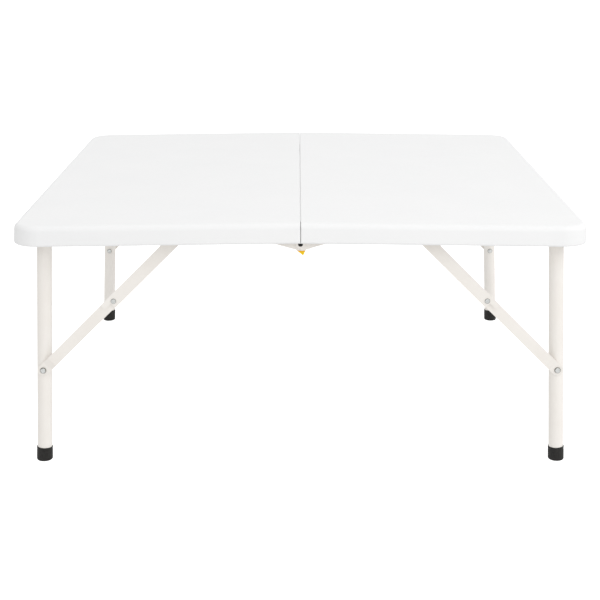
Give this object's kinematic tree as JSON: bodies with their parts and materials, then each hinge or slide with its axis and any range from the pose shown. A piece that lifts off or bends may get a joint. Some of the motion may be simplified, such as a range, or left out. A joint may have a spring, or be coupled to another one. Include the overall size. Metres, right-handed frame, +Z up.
{
  "type": "folding picnic table",
  "caption": "Low square picnic table whose moulded top folds in two halves, on splayed tube legs that fold inwards on jointed braces.",
  "frame": {"origin": "on the floor under the middle of the top", "axes": "+Z up; +X from the middle across the seam to the right half; the seam and hinge axis run along Y; the front faces -Y"},
  "size_m": [0.9394, 0.9394, 0.4296],
  "materials": {
    "white_plastic": "fine pebble grain, semi-matte",
    "painted_steel": "off-white powder coat",
    "black_rubber": "moulded, semi-matte",
    "zinc": "bright zinc",
    "yellow_plastic": "printed card, plain"
  },
  "bodies": {
    "left_half": {"left_top_panel": "white_plastic", "left_front_side_rail": "painted_steel", "left_front_rail_screws": "zinc", "left_front_hinge_plate": "painted_steel", "left_front_hinge_rivets": "zinc", "left_front_anchor_pin": "zinc", "left_rear_side_rail": "painted_steel", "left_rear_rail_screws": "zinc", "left_rear_hinge_plate": "painted_steel", "left_rear_hinge_rivets": "zinc", "left_rear_anchor_pin": "zinc", "front_hinge_pin": "painted_steel", "rear_hinge_pin": "painted_steel", "front_hinge_plug": "black_rubber", "rear_hinge_plug": "black_rubber", "hang_tag": "yellow_plastic"},
    "left_leg_frame": {"left_crossbar": "painted_steel", "left_front_leg_tube": "painted_steel", "left_front_foot_cap": "black_rubber", "left_front_brace_rivet": "zinc", "left_rear_leg_tube": "painted_steel", "left_rear_foot_cap": "black_rubber", "left_rear_brace_rivet": "zinc"},
    "left_front_lower_link_body": {"left_front_lower_link": "painted_steel", "left_front_link_rivets": "painted_steel"},
    "left_front_upper_link_body": {"left_front_upper_link": "painted_steel", "left_front_mid_rivet": "zinc"},
    "left_rear_lower_link_body": {"left_rear_lower_link": "painted_steel", "left_rear_link_rivets": "painted_steel"},
    "left_rear_upper_link_body": {"left_rear_upper_link": "painted_steel", "left_rear_mid_rivet": "zinc"},
    "right_half": {"right_top_panel": "white_plastic", "right_front_side_rail": "painted_steel", "right_front_rail_screws": "zinc", "right_front_hinge_plate": "painted_steel", "right_front_hinge_rivets": "zinc", "right_front_anchor_pin": "zinc", "right_rear_side_rail": "painted_steel", "right_rear_rail_screws": "zinc", "right_rear_hinge_plate": "painted_steel", "right_rear_hinge_rivets": "zinc", "right_rear_anchor_pin": "zinc"},
    "right_leg_frame": {"right_crossbar": "painted_steel", "right_front_leg_tube": "painted_steel", "right_front_foot_cap": "black_rubber", "right_front_brace_rivet": "zinc", "right_rear_leg_tube": "painted_steel", "right_rear_foot_cap": "black_rubber", "right_rear_brace_rivet": "zinc"},
    "right_front_lower_link_body": {"right_front_lower_link": "painted_steel", "right_front_link_rivets": "painted_steel"},
    "right_front_upper_link_body": {"right_front_upper_link": "painted_steel", "right_front_mid_rivet": "zinc"},
    "right_rear_lower_link_body": {"right_rear_lower_link": "painted_steel", "right_rear_link_rivets": "painted_steel"},
    "right_rear_upper_link_body": {"right_rear_upper_link": "painted_steel", "right_rear_mid_rivet": "zinc"}
  },
  "joints": [
    {"name": "table_fold", "type": "hinge", "parent": "left_half", "child": "right_half", "pos_m": [0, 0, 0.3916], "axis": [0, 1, 0], "range_deg": [0, 90]},
    {"name": "left_leg_fold", "type": "hinge", "parent": "left_half", "child": "left_leg_frame", "pos_m": [-0.42204, 0, 0.40475], "axis": [0, -1, 0], "range_deg": [0, 93.2]},
    {"name": "left_front_lower_link_turn", "type": "hinge", "parent": "left_leg_frame", "child": "left_front_lower_link_body", "pos_m": [-0.43401, -0.429, 0.1669], "axis": [0, -1, 0], "range_deg": [0, 42.4]},
    {"name": "left_front_upper_link_turn", "type": "hinge", "parent": "left_half", "child": "left_front_upper_link_body", "pos_m": [-0.19176, -0.4315, 0.40772], "axis": [0, -1, 0], "range_deg": [-44.19, 0]},
    {"name": "left_rear_lower_link_turn", "type": "hinge", "parent": "left_leg_frame", "child": "left_rear_lower_link_body", "pos_m": [-0.43401, 0.429, 0.1669], "axis": [0, -1, 0], "range_deg": [0, 42.4]},
    {"name": "left_rear_upper_link_turn", "type": "hinge", "parent": "left_half", "child": "left_rear_upper_link_body", "pos_m": [-0.19176, 0.4315, 0.40772], "axis": [0, -1, 0], "range_deg": [-44.19, 0]},
    {"name": "right_leg_fold", "type": "hinge", "parent": "right_half", "child": "right_leg_frame", "pos_m": [0.42204, 0, 0.40475], "axis": [0, 1, 0], "range_deg": [0, 93.2]},
    {"name": "right_front_lower_link_turn", "type": "hinge", "parent": "right_leg_frame", "child": "right_front_lower_link_body", "pos_m": [0.43401, -0.429, 0.1669], "axis": [0, 1, 0], "range_deg": [0, 42.4]},
    {"name": "right_front_upper_link_turn", "type": "hinge", "parent": "right_half", "child": "right_front_upper_link_body", "pos_m": [0.19176, -0.4315, 0.40772], "axis": [0, 1, 0], "range_deg": [-44.19, 0]},
    {"name": "right_rear_lower_link_turn", "type": "hinge", "parent": "right_leg_frame", "child": "right_rear_lower_link_body", "pos_m": [0.43401, 0.429, 0.1669], "axis": [0, 1, 0], "range_deg": [0, 42.4]},
    {"name": "right_rear_upper_link_turn", "type": "hinge", "parent": "right_half", "child": "right_rear_upper_link_body", "pos_m": [0.19176, 0.4315, 0.40772], "axis": [0, 1, 0], "range_deg": [-44.19, 0]}
  ],
  "couplings": [
    {"joint": "left_front_lower_link_turn", "follows": "left_leg_fold", "ratio": 0.45171},
    {"joint": "left_front_upper_link_turn", "follows": "left_leg_fold", "ratio": -0.47096},
    {"joint": "left_rear_lower_link_turn", "follows": "left_leg_fold", "ratio": 0.45171},
    {"joint": "left_rear_upper_link_turn", "follows": "left_leg_fold", "ratio": -0.47096},
    {"joint": "right_front_lower_link_turn", "follows": "right_leg_fold", "ratio": 0.45171},
    {"joint": "right_front_upper_link_turn", "follows": "right_leg_fold", "ratio": -0.47096},
    {"joint": "right_rear_lower_link_turn", "follows": "right_leg_fold", "ratio": 0.45171},
    {"joint": "right_rear_upper_link_turn", "follows": "right_leg_fold", "ratio": -0.47096}
  ]
}
